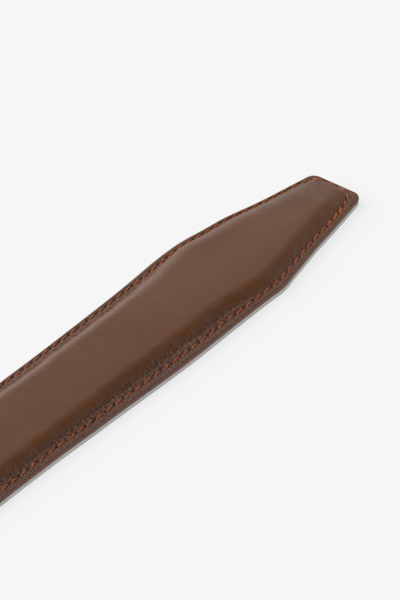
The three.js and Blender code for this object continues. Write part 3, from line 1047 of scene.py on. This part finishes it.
# Thread pieces: each is a tube along an arch, (1 - |t|^3) high and sunk at both ends, where t
# runs from -1 to 1, and it lies a little aslant to the seam. It thins by 1 - t^2 to its ends
def threadTubes(starts, ends, shift, surface, outward, thickness=1.0):
    s = stitch
    t = np.linspace(-1, 1, s["rings"])[None, :, None]
    a = seamPoint(starts)[:, None, :]
    b = seamPoint(ends)[:, None, :]
    along = b - a
    along = along / np.linalg.norm(along, axis=-1, keepdims=True)
    sideways = np.stack([along[..., 1], -along[..., 0]], axis=-1)
    flat = a + (b - a) * (t + 1) / 2 + sideways * (s["slant"] * t + shift)
    across = flat[..., 1]
    back = flat[..., 0]
    arch = 1 - np.abs(t[..., 0]) ** s["archPower"]
    height = surface(back, across) + outward * (s["radius"] * s["rest"] - (1 - arch) * s["sink"])
    placed = withStray(back, across, insetAt(back, across))
    centre = np.stack([tipX - back, placed, height], axis=-1)
    tangent = np.gradient(centre, axis=1)
    tangent /= np.linalg.norm(tangent, axis=-1, keepdims=True)
    side = np.cross(tangent, np.array([0, 0, 1.0]))
    side /= np.linalg.norm(side, axis=-1, keepdims=True)
    upward = np.cross(side, tangent)
    turn = np.linspace(0, 2 * np.pi, s["sides"], endpoint=False)
    thin = s["endRadius"] + (1 - s["endRadius"]) * (1 - t * t)
    radius = s["radius"] * thickness * thin[..., None]
    ring = (side[:, :, None, :] * np.cos(turn)[None, None, :, None]
            + upward[:, :, None, :] * np.sin(turn)[None, None, :, None] * s["squash"])
    return centre[:, :, None, :] + ring * radius


# Faces of all the tubes at once: quads between rings, and one flat cap at each end
def tubeFaces(tubeCount):
    s = stitch
    ringIndex = gridIndex(s["rings"], s["sides"])
    turned = np.roll(ringIndex, -1, axis=1)
    quads = np.stack([ringIndex[:-1], turned[:-1], turned[1:], ringIndex[1:]], axis=-1).reshape(-1, 4)
    base = np.arange(tubeCount)[:, None, None] * s["rings"] * s["sides"]
    caps = np.stack([ringIndex[0, ::-1], ringIndex[-1]])
    tubes = (quads[None] + base).reshape(-1, 4)
    ends = (caps[None] + base).reshape(-1, s["sides"])
    return tubes.tolist() + ends.tolist()


def upperSurface(back, across):
    way = wayTo(seam, back, across)
    return underside(back) + upper["seam"] + faceHeight(back, across, way, np.zeros_like(back))[0]


def backingSurface(back, across):
    return underside(back) + backing["grooveDepth"]


def makeStitches(name, material, surface, outward):
    s = stitch
    holes = needleHoles()
    gap = s["pitch"] * (1 - s["share"]) / 2
    starts, ends = holes[:-1] + gap, holes[1:] - gap
    random = np.random.default_rng(s["seed"])
    shift = random.uniform(-s["shiftChange"], s["shiftChange"], len(starts))[:, None, None]
    tubes = threadTubes(starts, ends, shift, surface, outward)
    if outward > 0:
        for side, share, lift in s["tackLayers"]:
            middles = lockedFrom - s["tackPitch"] * (0.5 + np.arange(s["tackCount"]))
            middles += random.uniform(-s["tackPlaceChange"], s["tackPlaceChange"], s["tackCount"])
            half = s["tackPitch"] * share / 2
            sideChange = random.uniform(-s["tackSideChange"], s["tackSideChange"], s["tackCount"])
            sway = (side + sideChange)[:, None, None]
            lock = threadTubes(middles - half, middles + half, sway, surface, outward,
                               s["tackThickness"])
            lock[..., 2] += lift
            tubes = np.concatenate([tubes, lock])
    piece = makePiece(name, tubes.reshape(-1, 3), tubeFaces(len(tubes)), material, smoothAngle=80.0)
    # The twist's coordinates: turns along the thread, and the share of the way round it
    uv = piece.data.uv_layers.new(name="twist")
    corner = np.zeros(len(piece.data.loops), dtype=np.int32)
    piece.data.loops.foreach_get("vertex_index", corner)
    ring = (corner // s["sides"]) % s["rings"]
    turns = ring * s["pitch"] / s["rings"] / threadLook["twistPitch"]
    pair = np.stack([turns, corner % s["sides"] / s["sides"]], axis=1)
    uv.data.foreach_set("uv", pair.astype(np.float32).ravel())
    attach(piece, "root")
    return piece


thread = bondedThread()
makeStitches("face_stitches", thread, upperSurface, 1.0)
makeStitches("back_stitches", thread, backingSurface, -1.0)
print("stitches made")


# Track: the solid's own teeth, in moulded nylon
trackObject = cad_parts["ratchet_track"]
trackObject.data.materials.clear()
trackObject.data.materials.append(mouldedNylon())

# Buckle: the solid's own shape, with its edges rounded over
buckle = {
    "edgeRadius": 0.25,
    "edgeSegments": 3,
    "edgeAngle": 30.0,
    "weld": 0.002,
    "flatAngle": 1.0,            # faces that turn less than this are one flat face
}


def makeBuckle(material):
    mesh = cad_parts["buckle"].data.copy()
    mesh.materials.clear()
    mesh.materials.append(material)
    work = bmesh.new()
    work.from_mesh(mesh)
    bmesh.ops.remove_doubles(work, verts=work.verts, dist=buckle["weld"] * mm)
    bmesh.ops.dissolve_limit(work, angle_limit=math.radians(buckle["flatAngle"]),
                             verts=work.verts, edges=work.edges)
    work.to_mesh(mesh)
    work.free()
    mesh.shade_smooth()
    piece = addObject("nickel_buckle", mesh)
    rounding = piece.modifiers.new("rounded_edges", "BEVEL")
    rounding.limit_method = "ANGLE"
    rounding.angle_limit = math.radians(buckle["edgeAngle"])
    rounding.width = buckle["edgeRadius"] * mm
    rounding.segments = buckle["edgeSegments"]
    rounding.harden_normals = True
    return piece


bucklePiece = makeBuckle(satinNickel())
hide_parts("buckle")
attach(bucklePiece, "root")
print("track and buckle finished")
